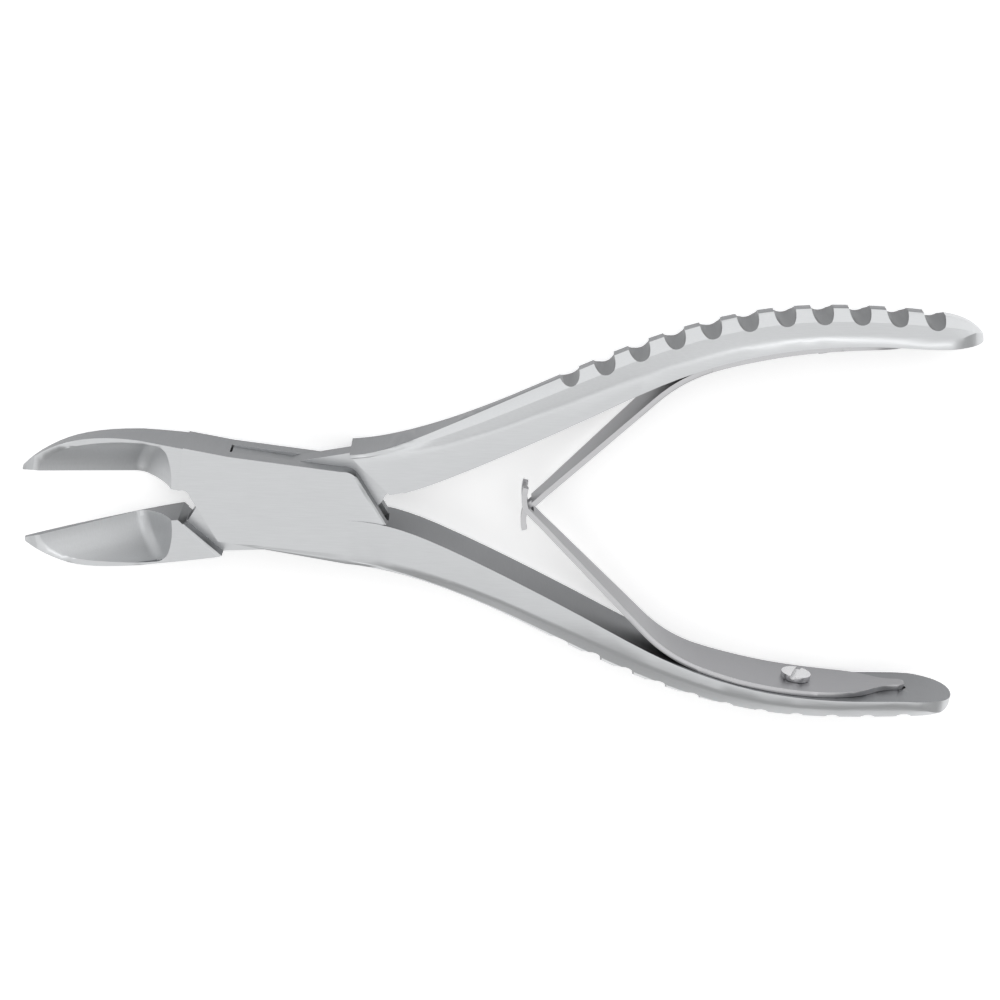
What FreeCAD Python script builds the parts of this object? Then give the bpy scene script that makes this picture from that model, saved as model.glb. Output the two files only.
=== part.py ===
"""Bone cutting forceps, 140 mm long, with a box joint and double leaf springs.

Frame: +Z up, millimetres. The forceps lie flat with the jaws towards -X and
the handles towards +X. The origin is on the pivot axis, at the lower cheek
face of the box joint. Both arms are drawn closed, with their cutting edges
on the plane y = 0, and each is then turned by half the opening.
The box arm carries the upper jaw and the lower handle. The tongue arm
carries the lower jaw and the upper handle, and passes through the box.
"""
import FreeCAD, Part
import math
import os

V = FreeCAD.Vector
UP = V(0, 0, 1)

# Opening of the instrument at rest, in degrees
opening = 15.0

# Box joint
box_thickness = 8.5
tongue_thickness = 3.3
box_top = 6.2
box_rise = 0.35
box_bottom = 6.75
slot_front = 10.4
slot_rear = 7.9
slot_clearance = 0.06
tongue_clearance = 0.3
pin_radius = 2.4
pin_clearance = 0.05

# Slanted end faces of the box, each from its upper to its lower end
front_reach = 15.7
front_slant = 5.4
rear_reach = 8.0
rear_slant = 5.5
rear_round = 2.2
rear_gap = 1.4
root_round = 2.0
edge_chamfer = 0.4
shoulder_gap = 0.4
shoulder_flare = 0.15
tongue_tuck = 1.2
tongue_relief = 0.6
corner_relief = 0.1
tongue_rise = 2.2
window_flare = 1.5
notch_radius = 1.1
notch_inset = 0.95

# Jaws
jaw_reach = 39.1
jaw_back = 6.45
jaw_swell = 0.3
jaw_waist = 0.35
jaw_heel = 17.0
heel_chamfer = 0.75
tip_depth = 0.6
tip_rise = 1.1
tip_width = 0.8
edge_gap = 0.02
grind_radius = 6.1
grind_nose = 2.8
grind_corner = 1.9
grind_heel = 21.2
grind_height = 7.9
grind_slope = 0.51

# Handles
handle_reach = 100.2
handle_root = 13.6
handle_start = 7.4
root_depth = 6.8
root_inner = 0.65
foot_corner = 0.06
grip_width = 11.8
grip_bow = 16.6
grip_end_length = 8.2
back_flat = 2.1
ridge_round = 0.6
brow_depth = 0.4
brow_width = 0.65

# Finger scallops across the back of each handle
scallop_count = 11
scallop_pitch = 5.32
scallop_radius = 1.55
scallop_depth = 1.58
scallop_last = 93.4

# Leaf springs
leaf_thickness = 0.8
leaf_seat_gap = 0.04
leaf_end = 93.2
leaf_lift = 62.0
leaf_bend_radius = 22.0
leaf_base_width = 10.4
leaf_tip_width = 4.4
leaf_nose_width = 2.4
leaf_nose_taper = 6.0
leaf_taper_start = 8.0
leaf_tip_run = 3.0
junction_reach = 33.4

# Hooked tips of the leaf springs
hook_bend_radius = 0.8
hook_bend = 30.0
tab_radius = 6.0
tab_length = 3.1
fork_slot = 2.1
fork_slot_run = 1.1
tongue_tab = 1.7
tongue_tab_run = 1.3

# Spring screws, and the nib that stops a leaf from turning
screw_place = 77.0
screw_head_radius = 2.2
screw_head_height = 1.2
screw_dome = 0.35
screw_shank_radius = 1.1
screw_depth = 3.0
screw_hole_clearance = 0.2
screw_slot_width = 0.7
screw_slot_depth = 0.7
screw_slot_turn = 20.0
nib_radius = 0.5
nib_length = 0.7
nib_hole_radius = 0.85
nib_place = 92.4
nib_hole_offset = 0.3

half_opening = opening / 2
mid_height = box_thickness / 2
trim = 0.4
beyond = 2 * handle_reach

front_top = (-front_reach, 0)
front_foot = (front_slant - front_reach, -box_bottom)
rear_top = (rear_reach, box_top)
rear_foot = (rear_reach + rear_slant, -root_inner)
notch_centre = (-front_reach - notch_radius / 2, -notch_inset)


def line(a, b):
    """Straight edge between two points (x, y)."""
    return Part.makeLine(V(a[0], a[1], 0), V(b[0], b[1], 0))


def spline(points, start=None, end=None):
    """Smooth edge through points (x, y), with optional directions at its ends."""
    curve = Part.BSplineCurve()
    places = [V(x, y, 0) for x, y in points]
    if start and end:
        curve.interpolate(Points=places, InitialTangent=V(*start, 0), FinalTangent=V(*end, 0))
    else:
        curve.interpolate(Points=places)
    return curve.toShape()


def polygon(points):
    """Straight edges of a closed outline."""
    return [line(a, b) for a, b in zip(points, points[1:] + points[:1])]


def flat_face(edges):
    """Face inside a closed outline drawn in XY."""
    return Part.Face(Part.Wire(Part.__sortEdges__(edges)))


def prism(edges, low, high):
    """Solid from z = low to z = high over an outline drawn in XY."""
    face = flat_face(edges)
    face.translate(V(0, 0, low))
    return face.extrude(V(0, 0, high - low))


def plan_prism(edges):
    """Solid right through in Y over an outline drawn as (x, z)."""
    face = flat_face(edges)
    face.rotate(V(0, 0, 0), V(1, 0, 0), 90)
    face.translate(V(0, beyond, 0))
    return face.extrude(V(0, -2 * beyond, 0))


def mirrored(shape):
    """Mirror image across the mating plane y = 0."""
    return shape.mirror(V(0, 0, 0), V(0, 1, 0))


def turned(shape, angle):
    """Copy of a shape turned about the pivot axis."""
    copy = shape.copy()
    copy.rotate(V(0, 0, 0), UP, angle)
    return copy


def level_range(width):
    """Lowest and highest z of something centred in the box's thickness."""
    return mid_height - width / 2, mid_height + width / 2


# Jaws

def jaw_blank():
    """Upper jaw before grinding, seen from the side."""
    blend = -0.60 * jaw_reach
    back = spline([(-jaw_reach, tip_depth), (-0.96 * jaw_reach, 0.35 * jaw_back),
                   (-0.91 * jaw_reach, 0.57 * jaw_back), (-0.85 * jaw_reach, 0.755 * jaw_back),
                   (-0.77 * jaw_reach, 0.895 * jaw_back), (-0.68 * jaw_reach, 0.972 * jaw_back),
                   (blend, jaw_back)])
    side = [back,
            line((blend, jaw_back), (-slot_front, box_top)),
            line((-slot_front, box_top), (-slot_front, edge_gap)),
            line((-slot_front, edge_gap), (-jaw_reach, edge_gap)),
            line((-jaw_reach, edge_gap), (-jaw_reach, tip_depth))]
    return prism(side, -box_thickness, 2 * box_thickness)


def jaw_plan():
    """Plan of the jaws: swept to one side, down to a narrow tip."""
    tip_top = box_thickness + tip_rise
    tip_foot = tip_top - tip_width
    bend = -0.38 * jaw_reach
    far_side = spline([(-jaw_reach, tip_foot), (-0.89 * jaw_reach, 0.755 * tip_foot),
                       (-0.76 * jaw_reach, 0.51 * tip_foot), (-0.64 * jaw_reach, 0.30 * tip_foot),
                       (-0.54 * jaw_reach, 0.142 * tip_foot), (-0.46 * jaw_reach, 0.045 * tip_foot),
                       (bend, 0)], start=(1, -0.55), end=(1, 0))
    near_side = spline([(-jaw_reach, tip_top), (-0.85 * jaw_reach, box_thickness + jaw_swell),
                        (-0.70 * jaw_reach, box_thickness - jaw_waist), (bend, box_thickness)],
                       start=(1, -0.4), end=(1, 0))
    return plan_prism([far_side, near_side,
                       line((-jaw_reach, tip_foot), (-jaw_reach, tip_top)),
                       line((bend, 0), (0, 0)),
                       line((0, 0), (0, box_thickness)),
                       line((0, box_thickness), (bend, box_thickness))])


def arc_about(centre, radius, start, end):
    """Arc in XZ about a centre, between two angles from +X, in radians."""
    def at(angle):
        return centre + V(radius * math.cos(angle), 0, radius * math.sin(angle))
    return Part.Arc(at(start), at((start + end) / 2), at(end)).toShape()


def grinding_wheel():
    """Round-nosed body, along the sweep of the jaws, that hollows a jaw's face."""
    inset = grind_radius - grind_corner
    gap = grind_nose - grind_corner
    sunk = (inset ** 2 - gap ** 2) / (2 * gap)
    turn = math.atan2(sunk, inset)
    nose = [arc_about(V(0, 0, -sunk), grind_nose + sunk, math.pi / 2, turn),
            arc_about(V(inset, 0, 0), grind_corner, turn, 0)]
    corners = [V(grind_radius, 0, 0), V(grind_radius, 0, -beyond), V(0, 0, -beyond), V(0, 0, grind_nose)]
    sides = [Part.makeLine(a, b) for a, b in zip(corners, corners[1:])]
    wheel = Part.Face(Part.Wire(nose + sides)).revolve(V(0, 0, 0), UP, 360)
    wheel.rotate(V(0, 0, 0), V(0, 1, 0), 90 + math.degrees(math.atan(grind_slope)))
    wheel.translate(V(-grind_heel, 0, grind_height))
    return wheel


def ground_jaw():
    """Upper jaw with its hollow-ground face and its straight cutting edge."""
    return jaw_blank().common(jaw_plan()).cut(grinding_wheel())


# Handles

def handle_stations():
    """Stations along a handle: x, inner face, side wall, depth, width, back flat."""
    root = box_thickness
    span = handle_reach - handle_root

    def along(share):
        return handle_root + share * span

    def swelling(share):
        return root + share * (grip_width - root)

    return [
        (handle_start, root_inner, 0.82 * root_depth, 0.98 * root_depth, root, 0.96 * root),
        (along(0.02), 1.06 * root_inner, 0.83 * root_depth, 1.01 * root_depth, swelling(0.13), 0.86 * root),
        (along(0.10), 0.14 * grip_bow, 0.73 * root_depth, 0.985 * root_depth, swelling(0.18), 0.56 * root),
        (along(0.22), 0.34 * grip_bow, 0.575 * root_depth, 0.94 * root_depth, swelling(0.25), back_flat),
        (along(0.36), 0.60 * grip_bow, 0.455 * root_depth, 0.89 * root_depth, swelling(0.40), back_flat),
        (along(0.50), 0.855 * grip_bow, 0.30 * root_depth, 0.79 * root_depth, swelling(0.66), back_flat),
        (along(0.68), grip_bow, 0.25 * root_depth, 0.71 * root_depth, grip_width, back_flat),
        (along(0.84), 0.95 * grip_bow, 0.20 * root_depth, 0.625 * root_depth,
         0.98 * grip_width, back_flat),
        (along(0.93), 0.88 * grip_bow, 0.20 * root_depth, 0.57 * root_depth,
         0.97 * grip_width, back_flat),
        (along(0.975), 0.865 * grip_bow, 0.17 * root_depth, 0.40 * root_depth,
         0.95 * grip_width, back_flat),
        (handle_reach, 0.86 * grip_bow, 0.06 * root_depth, 0.12 * root_depth,
         0.93 * grip_width, back_flat),
    ]


def handle_section(station, tangent):
    """Section of a handle: flat inside, side walls, eased ridges, bent slopes, narrow back."""
    x, inner, wall, depth, width, flat = station
    half = width / 2
    crown = flat / 2
    outwards = V(-tangent.y, tangent.x, 0).normalize()
    foot = V(x, inner, mid_height)
    slope = math.hypot(depth - wall, half - crown)
    ease = min(ridge_round, 0.4 * slope)
    eased = (wall + ease * (depth - wall) / slope, half - ease * (half - crown) / slope)
    brow = (depth - brow_depth * (depth - wall), crown + brow_width * (half - crown))
    side = [(-trim, half), (wall - ease, half), eased, brow, (depth, crown)]
    outline = side + [(out, -across) for out, across in reversed(side)]
    corners = [foot + outwards * out + V(0, 0, across) for out, across in outline]
    return Part.makePolygon(corners + corners[:1])


def station_curve(column):
    """Smooth line through one column of the stations, against x."""
    curve = Part.BSplineCurve()
    curve.interpolate(Points=[V(s[0], s[column], 0) for s in handle_stations()])
    return curve


def on_curve(curve, x):
    """Point and direction of a curve where it passes x."""
    low, high = curve.FirstParameter, curve.LastParameter
    for _ in range(50):
        middle = (low + high) / 2
        if curve.value(middle).x < x:
            low = middle
        else:
            high = middle
    return curve.value(low), curve.tangent(low)[0]


def grip_plan():
    """Plan of a handle: straight, with a round end."""
    shoulder = handle_reach - grip_end_length
    half = grip_width
    top = spline([(shoulder, mid_height + half / 2), (handle_reach - 0.42 * grip_end_length,
                  mid_height + 0.43 * half), (handle_reach, mid_height)], start=(1, 0), end=(0, -1))
    foot = spline([(shoulder, mid_height - half / 2), (handle_reach - 0.42 * grip_end_length,
                   mid_height - 0.43 * half), (handle_reach, mid_height)], start=(1, 0), end=(0, 1))
    low, high = mid_height - half / 2, mid_height + half / 2
    return plan_prism([top, foot, line((shoulder, low), (-beyond, low)),
                       line((-beyond, low), (-beyond, high)), line((-beyond, high), (shoulder, high))])


def scallops():
    """Round grooves straight across the back of a handle, evenly spaced along it."""
    inner = station_curve(1)
    back_points = []
    for station in handle_stations():
        foot, tangent = on_curve(inner, station[0])
        back_points.append(foot + V(-tangent.y, tangent.x, 0).normalize() * station[3])
    back = Part.BSplineCurve()
    back.interpolate(Points=back_points)
    along = back.length(back.FirstParameter, back.parameter(on_curve(back, scallop_last)[0]))
    grooves = []
    for i in range(scallop_count):
        place = back.parameterAtDistance(along - i * scallop_pitch, back.FirstParameter)
        tangent = back.tangent(place)[0]
        sink = scallop_depth if i < scallop_count - 1 else 0.75 * scallop_depth
        outwards = V(-tangent.y, tangent.x, 0).normalize()
        centre = back.value(place) + outwards * (scallop_radius - sink)
        low = mid_height - grip_width
        grooves.append(Part.makeCylinder(scallop_radius, 2 * grip_width, V(centre.x, centre.y, low), UP))
    return grooves


def seat_frame(curve, x, lift):
    """Placement on a handle's inner face at x: its own +Z leaves the face, lifted by lift."""
    foot, tangent = on_curve(curve, x)
    along = V(tangent.x, tangent.y, 0).normalize()
    inwards = V(along.y, -along.x, 0)
    turn = FreeCAD.Rotation(along, V(0, 0, 0), inwards, "ZXY")
    base = V(foot.x, foot.y, mid_height) + inwards * lift
    return FreeCAD.Placement(base, turn)


def seated(shape, curve, x, lift):
    """Copy of a shape stood on a handle's inner face at x."""
    copy = shape.copy()
    copy.Placement = seat_frame(curve, x, lift)
    return copy


def handle():
    """Upper handle, closed, with its scallops, its round end and the holes of its spring."""
    curve = station_curve(1)
    wires = [handle_section(s, on_curve(curve, s[0])[1]) for s in handle_stations()]
    start, end = curve.StartPoint, curve.EndPoint
    high = 3 * grip_bow
    inner_side = prism([curve.toShape(), line(end, (end.x + trim, end.y)),
                        line((end.x + trim, end.y), (end.x + trim, high)),
                        line((end.x + trim, high), (start.x - trim, high)),
                        line((start.x - trim, high), (start.x - trim, start.y)),
                        line((start.x - trim, start.y), start)], -grip_width, 2 * grip_width)
    solid = Part.makeLoft(wires, True, False).common([inner_side]).common(grip_plan())
    screw_hole = Part.makeCylinder(screw_shank_radius, 2 * screw_depth, V(0, 0, -screw_depth))
    nib_hole = Part.makeCylinder(nib_hole_radius, 3 * nib_length, V(0, 0, -1.5 * nib_length))
    holes = [seated(screw_hole, curve, screw_place, 0),
             seated(nib_hole, curve, nib_place + nib_hole_offset, 0)]
    return solid.cut(scallops() + holes)


# Arms, both drawn closed

def edge_wedges(start, end, outwards, depth):
    """Two bodies that chamfer the upper and lower edges of a wall from start to end."""
    wedges = []
    for level, away in ((box_thickness, 1), (0, -1)):
        corners = [(depth, -2 * depth), (depth, depth), (-2 * depth, depth)]
        points = [V(start[0] + outwards[0] * out, start[1] + outwards[1] * out, level + away * lift)
                  for out, lift in corners]
        face = Part.Face(Part.makePolygon(points + points[:1]))
        wedges.append(face.extrude(V(end[0] - start[0], end[1] - start[1], 0)))
    return wedges


def unit(a, b):
    """Unit vector (x, y) from one point to another."""
    length = math.hypot(b[0] - a[0], b[1] - a[1])
    return ((b[0] - a[0]) / length, (b[1] - a[1]) / length)


def box_body():
    """Full-thickness block of the box, between its two slanted faces."""
    along = unit(rear_top, rear_foot)
    top_rear = box_top + box_rise
    corner_start = (rear_top[0] - rear_round, top_rear)
    corner_end = (rear_top[0] + along[0] * rear_round / 4, rear_top[1] + along[1] * rear_round / 4)
    corner_mid = (rear_top[0] - 0.24 * rear_round, box_top + 0.6 * box_rise)
    outline = [corner_end, rear_foot, (handle_root, -root_inner), (handle_root, -0.75 * root_depth),
               (0, root_inner - box_bottom), (0.8 * front_foot[0], front_foot[1]), front_foot,
               front_top, (front_top[0], edge_gap), (-jaw_heel, edge_gap), (-jaw_heel, jaw_back),
               (-slot_front, box_top), corner_start]
    edges = [line(a, b) for a, b in zip(outline, outline[1:])]
    corner = Part.Arc(V(*corner_start, 0), V(*corner_mid, 0), V(*corner_end, 0)).toShape()
    wedges = edge_wedges(rear_top, rear_foot, (-along[1], along[0]), edge_chamfer)
    return prism(edges + [corner], 0, box_thickness).cut(wedges)


def tongue_outline():
    """Tongue: two corners turn in the slot, and its slanted ends run under the shoulders."""
    return [(-0.80 * slot_front, box_top + tongue_rise),
            (0, box_top),
            (rear_top[0] + rear_gap + tongue_tuck, box_top + 2 * box_rise),
            (rear_foot[0] + rear_gap + corner_relief, tongue_tuck),
            (rear_foot[0] - rear_gap / 3, -corner_relief),
            (rear_foot[0] - tongue_tuck, -0.95 * tongue_tuck),
            (0.76 * slot_rear, tongue_relief - box_bottom),
            (-0.5 * slot_front, corner_relief - box_bottom),
            (front_foot[0] - 1.5 * tongue_tuck, tongue_relief - box_bottom),
            (-jaw_heel + corner_relief, -notch_radius),
            (-jaw_heel + notch_radius, -notch_inset)]


def slot_outline():
    """Window through the box arm in which the tongue turns."""
    outline = tongue_outline()
    corner, heel = outline[0], outline[10]
    rear_heel, rear_corner = outline[5], outline[6]
    front_slope = (corner[1] - heel[1]) / (corner[0] - heel[0])
    rear_slope = (rear_heel[1] - rear_corner[1]) / (rear_heel[0] - rear_corner[0])
    front_rise = tongue_clearance * math.hypot(1, front_slope)
    rear_rise = tongue_clearance * math.hypot(1, rear_slope)
    front_low = corner[1] - (corner[0] + slot_front) * front_slope + front_rise
    rear_high = rear_corner[1] + (slot_rear - rear_corner[0]) * rear_slope - rear_rise
    high = 2 * box_top
    low = -2 * box_bottom
    far = rear_heel[0] + 2 * window_flare
    front_foot_low = heel[1] - window_flare * front_slope + front_rise
    return [(-slot_front, high), (-slot_front, front_low),
            (heel[0] - window_flare, front_foot_low),
            (-2 * jaw_heel, front_foot_low), (-2 * jaw_heel, low),
            (slot_rear, low), (slot_rear, rear_high),
            (far, rear_heel[1] + 2 * window_flare * rear_slope - rear_rise), (far, high)]


def box_foot():
    """Lower edge of the box, whose corners grow into the chamfers of the handle."""
    root = handle_stations()[0]
    depth = box_bottom - root_inner
    front = (0.85 * front_foot[0], root_inner, depth - foot_corner, depth, box_thickness,
             box_thickness - 2 * foot_corner)
    tangent = on_curve(station_curve(1), root[0])[1]
    sections = [handle_section(front, V(1, 0, 0)), handle_section(root, tangent)]
    return Part.makeLoft(sections, True, True)


def box_arm():
    """Upper jaw, box with its two cheeks, and lower handle."""
    solid = box_body().fuse([ground_jaw(), mirrored(handle()), mirrored(box_foot())])
    low, high = level_range(tongue_thickness + 2 * slot_clearance)
    solid = solid.cut(prism(polygon(slot_outline()), low, high))
    notch = Part.makeCylinder(notch_radius, beyond, V(notch_centre[0], notch_centre[1], -mid_height), UP)
    bore = Part.makeCylinder(pin_radius, beyond, V(0, 0, -mid_height), UP)
    return solid.cut([notch, bore])


def tongue_arm():
    """Lower jaw, tongue and upper handle."""
    front_clear = shoulder_gap + 2 * shoulder_flare
    heel_top = (front_top[0] - front_clear, -heel_chamfer)
    heel_foot = (front_foot[0] - front_clear, front_foot[1])
    front = [heel_top, heel_foot, (heel_foot[0], -2 * box_bottom),
             (beyond, -2 * box_bottom), (beyond, box_top), (-jaw_heel, box_top), (-jaw_heel, 0)]
    along = unit(heel_top, heel_foot)
    jaw = mirrored(ground_jaw()).cut(prism(polygon(front), -box_thickness, 2 * box_thickness))
    jaw = jaw.cut(edge_wedges(heel_top, heel_foot, (-along[1], along[0]), edge_chamfer))
    slant = unit(rear_foot, rear_top)
    shoulder_top = (rear_top[0] + rear_gap + slant[0], rear_top[1] + slant[1])
    shoulder_foot = (rear_foot[0] + rear_gap + slant[0] * root_round, rear_foot[1] + slant[1] * root_round)
    root_corner = (rear_foot[0] + rear_gap + 0.2 * root_round, root_inner + 0.1 * root_round)
    root_end = (shoulder_foot[0] + 1.9 * root_round, root_inner)
    curve = spline([shoulder_foot, root_corner, root_end], start=(-slant[0], -slant[1]), end=(1, 0))
    chain = [root_end, (root_end[0], -2 * box_bottom), (-beyond, -2 * box_bottom),
             (-beyond, 2 * box_top), (shoulder_top[0], 2 * box_top), shoulder_top, shoulder_foot]
    rear = [curve] + [line(a, b) for a, b in zip(chain, chain[1:])]
    upper_handle = handle().cut(prism(rear, -box_thickness, 2 * box_thickness))
    low, high = level_range(tongue_thickness)
    tongue = prism(polygon(tongue_outline()), low, high)
    bore = Part.makeCylinder(pin_radius + pin_clearance, beyond, V(0, 0, -mid_height), UP)
    return tongue.fuse([jaw, upper_handle]).cut(bore)


def pivot_pin():
    """Pin ground flush with both cheeks."""
    return Part.makeCylinder(pin_radius, box_thickness, V(0, 0, 0), UP)


# Leaf springs, drawn for the upper handle, closed

def swung(vector, angle):
    """Vector turned in XY by an angle in radians."""
    c, s = math.cos(angle), math.sin(angle)
    return V(c * vector.x - s * vector.y, s * vector.x + c * vector.y, 0)


def leaf_geometry(curve):
    """Bend centre, junction, and the direction from the bend centre to the free run."""
    lift, tangent = on_curve(curve, leaf_lift)
    inwards = V(tangent.y, -tangent.x, 0).normalize()
    centre = lift + inwards * leaf_bend_radius
    angle = math.radians(half_opening)
    junction = V(junction_reach * math.cos(angle), -junction_reach * math.sin(angle), 0)
    middle = leaf_seat_gap + leaf_thickness / 2
    reach = junction - centre
    lean = math.acos((leaf_bend_radius - middle) / reach.Length)
    outwards = swung(reach.normalize(), -lean)
    return centre, junction, outwards


def leaf_side(curve, shift):
    """One face of the leaf as edges and its two ends, shift away from the handle."""
    centre, junction, outwards = leaf_geometry(curve)
    middle = leaf_seat_gap + leaf_thickness / 2
    off = middle - shift
    seat = []
    steps = 6
    for i in range(steps + 1):
        foot, tangent = on_curve(curve, leaf_end + (leaf_lift - leaf_end) * i / steps)
        seat.append(foot + V(tangent.y, -tangent.x, 0).normalize() * shift)
    run_start = centre + outwards * (leaf_bend_radius - shift)
    run_end = junction + outwards * off
    lifting = (seat[-1] - centre).normalize()
    halfway = centre + (lifting + outwards).normalize() * (leaf_bend_radius - shift)
    bend = math.radians(hook_bend)
    hook_centre = junction - outwards * hook_bend_radius
    hook_half = hook_centre + swung(outwards, bend / 2) * (hook_bend_radius + off)
    hook_end = hook_centre + swung(outwards, bend) * (hook_bend_radius + off)
    tab_turn = tab_length / tab_radius
    tab_centre = hook_centre + swung(outwards, bend) * (hook_bend_radius - tab_radius)
    tab_half = tab_centre + swung(outwards, bend + tab_turn / 2) * (tab_radius + off)
    tab_end = tab_centre + swung(outwards, bend + tab_turn) * (tab_radius + off)
    edges = [spline([(p.x, p.y) for p in seat]),
             Part.Arc(seat[-1], halfway, run_start).toShape(),
             Part.makeLine(run_start, run_end),
             Part.Arc(run_end, hook_half, hook_end).toShape(),
             Part.Arc(hook_end, tab_half, tab_end).toShape()]
    return edges, seat[0], tab_end


def leaf_plan(curve):
    """Plan of a leaf: a round nose, full width at the screw, and a taper to the hook."""
    nose = leaf_nose_width / 2
    base = leaf_base_width / 2
    tip = leaf_tip_width / 2
    junction = leaf_geometry(curve)[1]
    taper_end = junction.x + leaf_tip_run
    wide = leaf_lift + leaf_nose_taper
    sides = []
    for side in (1, -1):
        def at(x, half):
            return (x, mid_height + side * half)
        flank = spline([at(leaf_end - nose, nose), at(leaf_end - leaf_nose_taper, 0.62 * base),
                        at(screw_place + leaf_tip_run, 0.94 * base), at(wide, base)],
                       start=(-1, 0), end=(-1, 0))
        shoulder = spline([at(wide, base), at(leaf_lift - leaf_taper_start, 0.8 * base),
                           at(taper_end, tip)])
        sides += [flank, shoulder, line(at(taper_end, tip), at(0, tip))]
    cap = Part.Arc(V(leaf_end - nose, mid_height + nose, 0), V(leaf_end, mid_height, 0),
                   V(leaf_end - nose, mid_height - nose, 0)).toShape()
    return plan_prism(sides + [cap, line((0, mid_height + tip), (0, mid_height - tip))])


def tip_block(curve, run, low, high):
    """Block that covers the end of a leaf from a little before the junction."""
    junction, outwards = leaf_geometry(curve)[1:]
    forwards = swung(outwards, math.pi / 2)
    size = 3 * tab_length
    start = junction - forwards * run
    block = Part.makeBox(size, 2 * size, high - low, V(0, -size, 0))
    block.rotate(V(0, 0, 0), UP, math.degrees(math.atan2(forwards.y, forwards.x)))
    block.translate(V(start.x, start.y, low))
    return block


def leaf_spring(forked):
    """Leaf spring of the upper handle, with either a forked or a tongued tip."""
    curve = station_curve(1)
    near, near_nose, near_tab = leaf_side(curve, leaf_seat_gap)
    far, far_nose, far_tab = leaf_side(curve, leaf_seat_gap + leaf_thickness)
    ends = [Part.makeLine(near_nose, far_nose), Part.makeLine(near_tab, far_tab)]
    leaf = prism(near + far + ends, mid_height - grip_width, mid_height + grip_width)
    leaf = leaf.common(leaf_plan(curve))
    nib = Part.makeCylinder(nib_radius, nib_length + leaf_seat_gap + leaf_thickness / 2,
                            V(0, 0, -nib_length))
    hole = Part.makeCylinder(screw_shank_radius + screw_hole_clearance, 4 * leaf_thickness,
                             V(0, 0, -leaf_thickness))
    leaf = leaf.fuse(seated(nib, curve, nib_place, 0)).cut(seated(hole, curve, screw_place, 0))
    if forked:
        low, high = level_range(fork_slot)
        return leaf.cut(tip_block(curve, fork_slot_run, low, high))
    low, high = level_range(tongue_tab)
    sides = [tip_block(curve, tongue_tab_run, high, high + box_thickness),
             tip_block(curve, tongue_tab_run, low - box_thickness, low)]
    return leaf.cut(sides)


def spring_screw():
    """Slotted screw through the leaf of the upper handle."""
    rim = screw_head_height - screw_dome
    ball = (screw_head_radius ** 2 + screw_dome ** 2) / (2 * screw_dome)
    centre = V(0, 0, screw_head_height - ball)
    dome = arc_about(centre, ball, math.acos(screw_head_radius / ball), math.pi / 2)
    corners = [V(0, 0, screw_head_height), V(0, 0, 0), V(screw_head_radius, 0, 0),
               V(screw_head_radius, 0, rim)]
    sides = [Part.makeLine(a, b) for a, b in zip(corners, corners[1:])]
    head = Part.Face(Part.Wire([dome] + sides)).revolve(V(0, 0, 0), UP, 360)
    slot = Part.makeBox(screw_slot_width, 4 * screw_head_radius, screw_head_height,
                        V(-screw_slot_width / 2, -2 * screw_head_radius, screw_head_height - screw_slot_depth))
    slot.rotate(V(0, 0, 0), UP, screw_slot_turn)
    under = leaf_thickness + 2 * leaf_seat_gap
    shank = Part.makeCylinder(screw_shank_radius, screw_depth + under, V(0, 0, -screw_depth - under))
    return seated(head.fuse(shank).cut(slot), station_curve(1), screw_place, under)


def save(name, shape):
    """Write one piece and say what it is like."""
    clean = shape.removeSplitter()
    clean.exportStep("parts/" + name + ".step")
    print(name, clean.isValid(), len(clean.Solids), "solids", round(clean.Volume, 2), "mm3")


os.makedirs("parts", exist_ok=True)
save("box_arm", turned(box_arm(), -half_opening))
save("tongue_arm", turned(tongue_arm(), half_opening))
save("pivot_pin", pivot_pin())
save("lower_leaf_spring", turned(mirrored(leaf_spring(True)), -half_opening))
save("upper_leaf_spring", turned(leaf_spring(False), half_opening))
save("lower_spring_screw", turned(mirrored(spring_screw()), -half_opening))
save("upper_spring_screw", turned(spring_screw(), half_opening))
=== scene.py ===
# %% [markdown]
# Bone cutting forceps, laid flat and seen from above. The imported model gives every piece its
# true place, so this lesson is about finish: satin steel that shows its grinding, edges that catch
# the light, and springs with loops across their bend.

# %% Load the imported model
import math

import bmesh
import bpy
from mathutils import Matrix, Vector


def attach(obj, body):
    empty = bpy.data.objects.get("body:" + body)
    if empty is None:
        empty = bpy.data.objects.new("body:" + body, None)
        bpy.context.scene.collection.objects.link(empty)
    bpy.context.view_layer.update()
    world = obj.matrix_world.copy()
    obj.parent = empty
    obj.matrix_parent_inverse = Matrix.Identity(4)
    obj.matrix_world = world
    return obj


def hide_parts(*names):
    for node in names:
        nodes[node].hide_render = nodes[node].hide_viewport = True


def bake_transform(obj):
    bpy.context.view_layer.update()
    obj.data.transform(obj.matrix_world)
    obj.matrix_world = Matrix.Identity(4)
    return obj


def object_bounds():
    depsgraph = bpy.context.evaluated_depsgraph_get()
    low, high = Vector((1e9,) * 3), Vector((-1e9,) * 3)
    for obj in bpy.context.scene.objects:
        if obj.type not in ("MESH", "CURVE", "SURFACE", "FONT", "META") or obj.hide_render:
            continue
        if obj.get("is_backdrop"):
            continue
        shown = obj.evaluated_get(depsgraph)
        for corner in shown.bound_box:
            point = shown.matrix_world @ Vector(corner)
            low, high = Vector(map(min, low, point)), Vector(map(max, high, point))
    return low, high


MM = 0.001

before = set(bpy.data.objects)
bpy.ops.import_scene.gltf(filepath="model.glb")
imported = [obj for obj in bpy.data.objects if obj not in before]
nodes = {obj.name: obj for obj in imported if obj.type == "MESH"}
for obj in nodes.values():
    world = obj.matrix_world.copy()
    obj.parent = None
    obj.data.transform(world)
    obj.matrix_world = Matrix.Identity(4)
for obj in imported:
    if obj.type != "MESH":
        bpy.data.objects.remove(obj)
cad_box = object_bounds()
print("pieces loaded:", ", ".join(sorted(nodes)))

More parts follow.
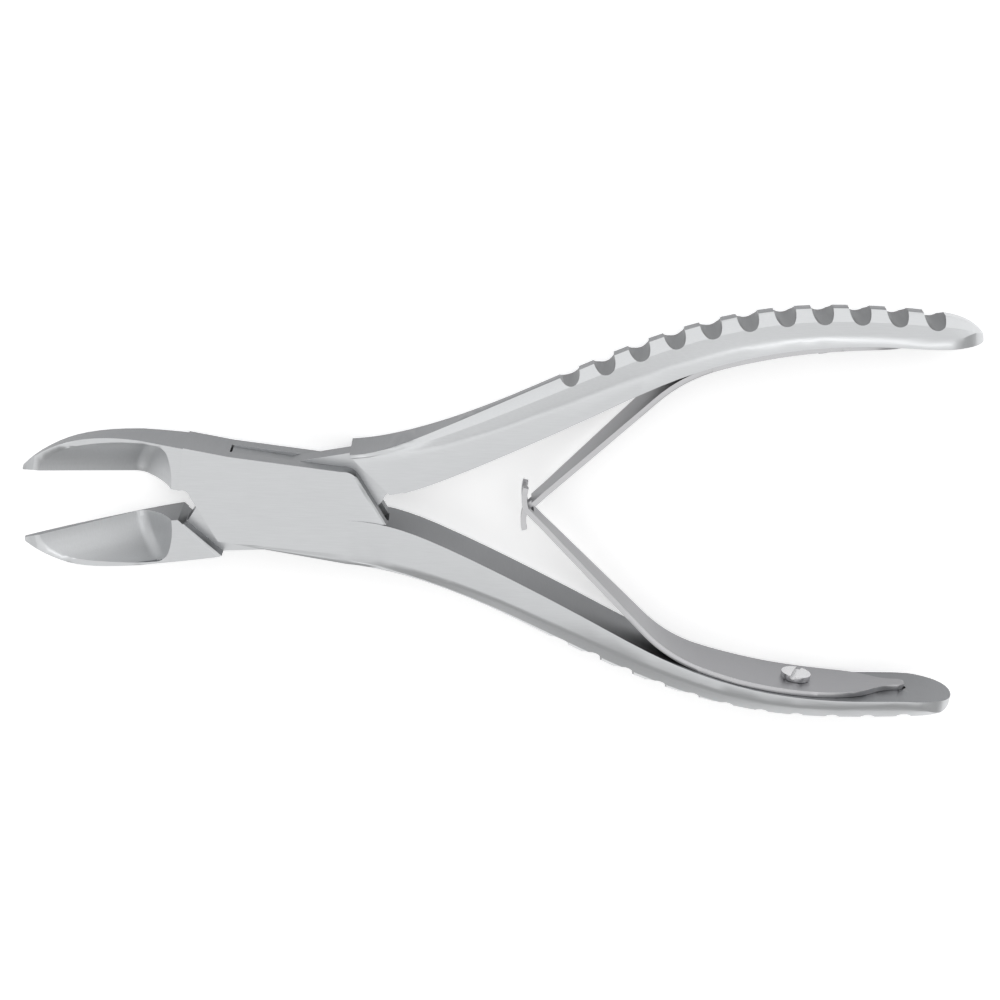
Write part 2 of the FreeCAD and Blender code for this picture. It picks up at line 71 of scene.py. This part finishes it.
# %% [markdown]
# The camera comes first, because every comparison depends on it. The picture was
# taken from almost straight above, leaning back a little, so that the upward sides
# of the jaws and handles show as thin dark bands. A camera could be turned by three
# angles, but three axes built from the lean are easier to check. The long lens keeps
# the two handles the same size.

# %% Camera
CAMERA_TARGET = Vector((29.5, 0.81, 4.25)) * MM
CAMERA_DISTANCE = 370 * MM
CAMERA_LEAN = math.radians(18.5)
CAMERA_TURN = math.radians(1.75)
CAMERA_LENS = 91.6
FILM_WIDTH = 36
NEAREST_VIEW = 0.01

turn = Matrix.Rotation(CAMERA_TURN, 3, "Z")
view_axis = turn @ Vector((0, math.sin(CAMERA_LEAN), math.cos(CAMERA_LEAN)))
picture_up = turn @ Vector((0, math.cos(CAMERA_LEAN), -math.sin(CAMERA_LEAN)))
picture_right = picture_up.cross(view_axis)
facing = Matrix((picture_right, picture_up, view_axis)).transposed().to_4x4()

camera_data = bpy.data.cameras.new("studio_camera")
camera_data.lens = CAMERA_LENS
camera_data.sensor_width = FILM_WIDTH
camera_data.clip_start = NEAREST_VIEW
camera = bpy.data.objects.new("studio_camera", camera_data)
camera.matrix_world = Matrix.Translation(CAMERA_TARGET + view_axis * CAMERA_DISTANCE) @ facing
bpy.context.scene.collection.objects.link(camera)
bpy.context.scene.camera = camera
print("camera at", [round(v, 4) for v in camera.matrix_world.translation])

# %% [markdown]
# Surgical steel is ground with finer and finer belts and then brushed to a soft
# shine. A picture of brushed metal could be laid over it, but noise in the material
# needs no seams and follows every piece. One function makes each finish. The grinding
# lines are noise stretched along one direction, and a second, larger noise varies
# the shine a little, as hands and polishing do.

# %% One function for every steel
GRAIN_DETAIL = 3
GRAIN_STRENGTH = 0.4
TONE_SWING = 0.06
PATCH_SCALE = 70
PATCH_DETAIL = 2
SHINE_SWING = 0.04


def noise(tree, place, scale, detail):
    """Noise texture that is read at a place, as the socket that gives its value."""
    texture = tree.nodes.new("ShaderNodeTexNoise")
    texture.inputs["Scale"].default_value = scale
    texture.inputs["Detail"].default_value = detail
    tree.links.new(place, texture.inputs["Vector"])
    return texture.outputs["Fac"]


def steel(name, colour, roughness, grain_stretch, grain_scale, grain_depth):
    """Ground steel: stretched noise for the grinding and soft patches of shine."""
    material = bpy.data.materials.new(name)
    material.use_nodes = True
    tree = material.node_tree
    shader = tree.nodes["Principled BSDF"]
    shader.inputs["Metallic"].default_value = 1

    place = tree.nodes.new("ShaderNodeTexCoord").outputs["Object"]
    along = tree.nodes.new("ShaderNodeMapping")
    along.inputs["Scale"].default_value = grain_stretch
    tree.links.new(place, along.inputs["Vector"])
    grain = noise(tree, along.outputs["Vector"], grain_scale, GRAIN_DETAIL)
    patches = noise(tree, place, PATCH_SCALE, PATCH_DETAIL)

    shine = tree.nodes.new("ShaderNodeMapRange")
    shine.inputs["To Min"].default_value = roughness - SHINE_SWING
    shine.inputs["To Max"].default_value = roughness + SHINE_SWING
    tree.links.new(patches, shine.inputs["Value"])
    tree.links.new(shine.outputs["Result"], shader.inputs["Roughness"])

    tone = tree.nodes.new("ShaderNodeMix")
    tone.data_type = "RGBA"
    tone.inputs["A"].default_value = (*((1 - TONE_SWING) * c for c in colour), 1)
    tone.inputs["B"].default_value = (*((1 + TONE_SWING) * c for c in colour), 1)
    tree.links.new(grain, tone.inputs["Factor"])
    tree.links.new(tone.outputs["Result"], shader.inputs["Base Color"])

    bump = tree.nodes.new("ShaderNodeBump")
    bump.inputs["Strength"].default_value = GRAIN_STRENGTH
    bump.inputs["Distance"].default_value = grain_depth
    tree.links.new(grain, bump.inputs["Height"])
    tree.links.new(bump.outputs["Normal"], shader.inputs["Normal"])
    print(name, "has a roughness of", roughness)
    return material


# %% [markdown]
# The faces are brushed along the forceps. The hollows of the jaws carry only the marks of their
# grinding wheel, so they are rougher. The upright walls and the scallops carry their wheels' marks
# too and are a little rougher, and their dark colour is painted shade for the shaded table that
# they would mirror. Each finish has its lines running the way that its wheel did. A small number
# in a direction draws the noise out into lines along it.

# %% Steel finishes
LENGTHWISE = (0.05, 1, 1)
CROSSWISE = (1, 0.08, 1)
UPRIGHT = (1, 1, 0.06)
LEVEL = (0.05, 0.05, 1)
ALL_WAYS = (1, 1, 1)
BELT_MARK = 0.00001
FINE_MARK = 0.000005

face_steel = steel("satin_face_steel", (0.61, 0.62, 0.63), 0.36, LENGTHWISE, 7000, BELT_MARK)
# The dark colour of this wall steel is painted shade: the upright walls would mirror the shaded
# table beside them.
wall_painted_shade_steel = steel("wall_steel_with_painted_shade", (0.21, 0.215, 0.224), 0.38, UPRIGHT, 6000, BELT_MARK)
hollow_steel = steel("hollow_ground_steel", (0.58, 0.59, 0.60), 0.52, CROSSWISE, 6000, BELT_MARK)
# The scallop steel's dark colour is painted shade as well.
scallop_painted_shade_steel = steel("scallop_painted_shade_steel", (0.155, 0.159, 0.165), 0.42, UPRIGHT, 6000, BELT_MARK)
pin_steel = steel("flush_pin_steel", (0.61, 0.62, 0.63), 0.36, LENGTHWISE, 7000, BELT_MARK)
leaf_edge_steel = steel("spring_edge_steel", (0.54, 0.54, 0.55), 0.28, LENGTHWISE, 7000, BELT_MARK)
# The spring's flat sides get a dark colour that is painted shade; its edges stay lighter.
leaf_flat_painted_shade_steel = steel("spring_flat_painted_shade_steel", (0.27, 0.27, 0.282), 0.30, LEVEL, 8000, BELT_MARK)
screw_steel = steel("turned_screw_steel", (0.62, 0.62, 0.63), 0.25, ALL_WAYS, 7000, FINE_MARK)

# %% [markdown]
# The pivot pin is ground flush with both cheeks of the box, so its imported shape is
# right as it stands. It only needs the same satin finish as the cheeks around it.

# %% Pivot pin
def finish(piece, *materials):
    """Give a piece its materials, in the order of its faces' numbers."""
    piece.data.materials.clear()
    for material in materials:
        piece.data.materials.append(material)


finish(nodes["pivot_pin"], pin_steel)
print("pivot_pin is finished with", pin_steel.name)

# %% [markdown]
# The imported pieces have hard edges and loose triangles. A real forging has its edges
# broken by the polishing wheel, and those narrow roundings catch the light. A bevel
# modifier could do that, but it needs whole faces, not loose triangles. So each piece
# is dressed as a copy: its triangles are welded, flat areas are joined, and only
# then do the sharp edges get a small bevel.

# %% Welding and easing
WELD_DISTANCE = 0.0005 * MM
FLAT_ANGLE = math.radians(0.3)
SHARP_DEGREES = 35


def never(part):
    """The answer where no face or edge is an exception."""
    return False


def welded_copy(node, name):
    """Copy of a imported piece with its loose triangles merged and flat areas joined."""
    copy = bpy.data.objects.new(name, nodes[node].data.copy())
    bpy.context.scene.collection.objects.link(copy)
    shape = bmesh.new()
    shape.from_mesh(copy.data)
    bmesh.ops.remove_doubles(shape, verts=shape.verts, dist=WELD_DISTANCE)
    bmesh.ops.dissolve_limit(shape, angle_limit=FLAT_ANGLE, verts=shape.verts,
                             edges=shape.edges, use_dissolve_boundaries=False)
    bmesh.ops.recalc_face_normals(shape, faces=shape.faces)
    print(node, "welded to", len(shape.faces), "faces")
    return copy, shape


def ease_edges(shape, width, sharp=SHARP_DEGREES, leave=never):
    """Round the edges that are sharper than an angle, unless a face beside them is left."""
    edges = [edge for edge in shape.edges if len(edge.link_faces) == 2
             and edge.calc_face_angle(0) > math.radians(sharp)
             and not any(leave(face) for face in edge.link_faces)]
    bmesh.ops.bevel(shape, geom=edges, offset=width, offset_type="OFFSET", segments=2,
                    profile=0.5, affect="EDGES", clamp_overlap=True, material=-1)


# %% [markdown]
# The faces of the forceps are polished, and the walls get a darker steel whose darkness is painted
# shade, so one piece shows more than one material. It could be cut into parts, but a number on
# each face does it in one mesh. Weighted normals then let the broad faces stay flat and leave the
# shading to the narrow roundings.

# %% Settling a shape
WALL_LIMIT = 0.12
CRISP_ANGLE = math.radians(40)


def is_wall(face):
    """True for a face that stands nearly upright on the table."""
    return abs(face.normal.z) < WALL_LIMIT


def settle(copy, shape, materials, choose=is_wall, crisp=never):
    """Write a bmesh back to its piece, each face with its chosen finish."""
    bmesh.ops.recalc_face_normals(shape, faces=shape.faces)
    for face in shape.faces:
        face.smooth = True
        face.material_index = int(choose(face))
    for edge in shape.edges:
        edge.smooth = edge.calc_face_angle(0) < CRISP_ANGLE and not crisp(edge)
    finish(copy, *materials)
    shape.to_mesh(copy.data)
    shape.free()
    even = copy.modifiers.new("even_normals", "WEIGHTED_NORMAL")
    even.keep_sharp = True
    print(copy.name, "has", len(copy.data.polygons), "faces")


# %% [markdown]
# The grip has a row of scallops across its back, cut with a round cutter. No wheel reaches into
# them afterwards, so they are rougher than the rest of the arm and keep crisp rims, while the end
# of the grip is polished round. The scallops' dark colour is painted shade, standing in for the
# shade that they would mirror. The jaws are hollowed on a coarser wheel, which leaves them more
# matt. The faces could be painted by hand, but place, direction and height already tell which is
# which.

# %% Which face gets which finish
FACE, WALL, SCALLOP, HOLLOW = range(4)
JAW_START = -14 * MM
HOLLOW_LIMIT = 0.985
GRIP_START = 38 * MM
GRIP_END = 92 * MM
INWARD_LIMIT = -0.8
LAND_WIDTH = 2.3 * MM


def on_grip_back(face, outwards):
    """True for the scallops and the lands between them."""
    outer = face.normal.y * outwards > 0
    return is_wall(face) and outer and face.calc_center_median().x > GRIP_START


def arm_finish(face, outwards):
    """Number of the finish that a face of an arm gets."""
    place = face.calc_center_median()
    heights = [vert.co.z for vert in face.verts]
    if place.x < JAW_START and WALL_LIMIT < face.normal.z < HOLLOW_LIMIT:
        return HOLLOW
    rounded_end = place.x > GRIP_END and face.normal.y * outwards > INWARD_LIMIT
    if not is_wall(face) or rounded_end:
        return FACE
    if on_grip_back(face, outwards) and max(heights) - min(heights) > LAND_WIDTH:
        return SCALLOP
    return WALL


# %% [markdown]
# Each handle has a rounded ridge and two flat slopes below it. The ridge is shaded
# smooth, but the bend between the two slopes is a real line, so it is kept crisp.

# %% The bend between the slopes
HANDLE_START = 17 * MM
MIDDLE_HEIGHT = 4.25 * MM
RIDGE_HEIGHT = 4.3 * MM
BEND_ANGLE = math.radians(24)


def slope_bend(edge):
    """The long bend between a handle's two slopes, which lies below its ridge."""
    middle = (edge.verts[0].co + edge.verts[1].co) / 2
    below_ridge = abs(middle.z - MIDDLE_HEIGHT) < RIDGE_HEIGHT
    return middle.x > HANDLE_START and below_ridge and edge.calc_face_angle(0) > BEND_ANGLE


# %% [markdown]
# Now both arms are dressed. Each is one forging from the tip of its jaw to the end
# of its grip, and the arms cross at the box, so the lower handle belongs to the box
# arm. Their edges are eased everywhere but on the backs of the grips, where a bevel
# would soften the rims of the scallops.

# %% Forged arms
SIDES = (("lower", "box_arm", -1), ("upper", "tongue_arm", 1))
ARM_EDGE = 0.12 * MM
ARM_SHARP_DEGREES = 48

for side, arm, outwards in SIDES:
    forging, shape = welded_copy(arm, arm + "_forging")
    ease_edges(shape, ARM_EDGE, sharp=ARM_SHARP_DEGREES,
               leave=lambda face: on_grip_back(face, outwards))
    # Walls and scallops get the steels with painted shade.
    settle(forging, shape, (face_steel, wall_painted_shade_steel, scallop_painted_shade_steel, hollow_steel),
           choose=lambda face: arm_finish(face, outwards), crisp=slope_bend)
    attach(forging, arm)
    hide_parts(arm)

# %% [markdown]
# Each leaf spring is a strip of spring steel that leaves its handle near the middle of the grip.
# When the handles close, the strip bends there, and a stiff copy would break away from its screw.
# Here a welded copy of the imported leaf gets extra loops across the bend.

# %% Leaf springs with loops across the bend
LEAF_EDGE = 0.1 * MM
LIFT_OFF = Vector((59.6, 22.95, 4.25)) * MM
BEND_MIDDLE = Vector((53.4, 19.7, 4.25)) * MM
BEND_LOOPS = 23
LOOP_SNAP = 0.0001 * MM

for side, arm, outwards in SIDES:
    leaf, shape = welded_copy(side + "_leaf_spring", side + "_leaf")
    ease_edges(shape, LEAF_EDGE)
    mirror = Vector((1, outwards, 1))
    start = LIFT_OFF * mirror
    reach = BEND_MIDDLE * mirror - start
    for step in range(1, BEND_LOOPS + 1):
        loop_place = start + 2 * reach * (step / (BEND_LOOPS + 1))
        bmesh.ops.bisect_plane(shape, geom=shape.verts[:] + shape.edges[:] + shape.faces[:],
                               plane_co=loop_place, plane_no=reach, dist=LOOP_SNAP)
    # The leaf's upright flats get the steel with painted shade.
    settle(leaf, shape, (leaf_edge_steel, leaf_flat_painted_shade_steel))
    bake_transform(leaf)
    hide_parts(side + "_leaf_spring")

# %% [markdown]
# The screws are small but lie in plain view. Their heads are turned, slotted and slightly domed,
# and the slot's edges are the brightest lines on them. The shank's end lies in the floor of a
# scallop, so it gets the scallop's steel with its painted shade and doesn't shine there like a
# speck.

# %% Spring screws
SCREW_EDGE = 0.04 * MM
HEAD_HEIGHT = 1.2 * MM

for side, arm, outwards in SIDES:
    screw, shape = welded_copy(side + "_spring_screw", side + "_screw")
    ease_edges(shape, SCREW_EDGE)
    shank_start = min(vert.co.y * outwards for vert in shape.verts) + 2 * HEAD_HEIGHT
    # The shank's end gets the scallop steel with its painted shade.
    settle(screw, shape, (screw_steel, scallop_painted_shade_steel),
           choose=lambda face: face.calc_center_median().y * outwards > shank_start)
    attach(screw, arm)
    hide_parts(side + "_spring_screw")

# %% [markdown]
# The table is plain and pale, and only the soft shadow tells where the steel
# touches it. More lamps would turn it white, but would burn out the steel as well.
# So what the camera sees of the table, straight on or mirrored in the steel, is
# lifted a little towards white. The lift adds to the lit colour, so the shadow stays.

# %% Table
TABLE_LEVEL = -1.65 * MM
TABLE_SIZE = 4
TABLE_COLOUR = (0.9, 0.9, 0.9, 1)
TABLE_LIFT = 0.40
WHITE = (1, 1, 1, 1)

bpy.ops.mesh.primitive_plane_add(size=TABLE_SIZE, location=(0, 0, TABLE_LEVEL))
table = bpy.context.object
table.name = "table"

paper = bpy.data.materials.new("pale_table")
paper.use_nodes = True
paper_tree = paper.node_tree
paper_shader = paper_tree.nodes["Principled BSDF"]
paper_shader.inputs["Base Color"].default_value = TABLE_COLOUR
paper_shader.inputs["Roughness"].default_value = 0.9
paper_shader.inputs["Specular IOR Level"].default_value = 0.1
paper_shader.inputs["Emission Color"].default_value = WHITE

rays = paper_tree.nodes.new("ShaderNodeLightPath")
seen = rays.outputs["Is Camera Ray"]
for ray in ("Is Glossy Ray", "Is Transmission Ray"):
    either = paper_tree.nodes.new("ShaderNodeMath")
    either.operation = "MAXIMUM"
    paper_tree.links.new(seen, either.inputs[0])
    paper_tree.links.new(rays.outputs[ray], either.inputs[1])
    seen = either.outputs[0]

lift = paper_tree.nodes.new("ShaderNodeMath")
lift.operation = "MULTIPLY"
lift.inputs[1].default_value = TABLE_LIFT
paper_tree.links.new(seen, lift.inputs[0])
paper_tree.links.new(lift.outputs[0], paper_shader.inputs["Emission Strength"])

finish(table, paper)
table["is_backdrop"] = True
print("table at", round(TABLE_LEVEL / MM, 2), "mm")

# %% [markdown]
# Polished steel shows what stands around it, so the lamps are large and soft. The overhead box
# fills the flat faces with light grey. The low box behind draws the outer slopes of the handles,
# and the slope light between the two fills the slopes beside the ridges. The small lamps pick out
# the rims, the grips' ends and the heels of the jaws. The front stays empty, so the walls turned
# to it stay dark, on top of the painted shade in their steel.

# %% Lamps
def soft_box(name, place, width, height, power):
    """Rectangular lamp at a place, aimed at the middle of the forceps."""
    lamp = bpy.data.lights.new(name, "AREA")
    lamp.shape = "RECTANGLE"
    lamp.size = width
    lamp.size_y = height
    lamp.energy = power
    place = Vector(place)
    aim = (place - CAMERA_TARGET).to_track_quat("Z", "Y").to_matrix().to_4x4()
    holder = bpy.data.objects.new(name, lamp)
    holder.matrix_world = Matrix.Translation(place) @ aim
    bpy.context.scene.collection.objects.link(holder)
    print(name, "gives", power, "W")


soft_box("overhead_soft_box", (0.03, -0.10, 0.70), 1.3, 0.68, 1.75)
soft_box("back_soft_box", (0.10, 0.78, 0.25), 1.5, 0.50, 1.35)
soft_box("edge_light", (0.12, 0.26, 0.62), 0.4, 0.22, 0.45)
soft_box("slope_light", (0.10, 0.46, 0.50), 1.2, 0.26, 0.55)
soft_box("side_light", (0.85, 0.38, 0.22), 0.5, 0.35, 0.7)
soft_box("heel_light", (-0.65, 0.30, 0.28), 0.5, 0.40, 0.6)

# %% [markdown]
# A pale room stands around the lamps, because steel in an empty one would mirror
# black between them. The plain view transform shows every colour as it is lit.

# %% Room
ROOM_LIGHT = 0.45

room = bpy.data.worlds.new("studio")
room.use_nodes = True
background = room.node_tree.nodes["Background"]
background.inputs["Color"].default_value = WHITE
background.inputs["Strength"].default_value = ROOM_LIGHT
bpy.context.scene.world = room
bpy.context.scene.view_settings.view_transform = "Standard"
print("room light", ROOM_LIGHT)

# %% [markdown]
# The two boxes are written side by side, so that anyone can see that the dressed
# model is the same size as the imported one.

# %% Sizes, and the end
visual_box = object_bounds()
for title, box in (("packed", cad_box), ("dressed", visual_box)):
    print(title, "box in mm:", [[round(v / MM, 2) for v in corner] for corner in box])
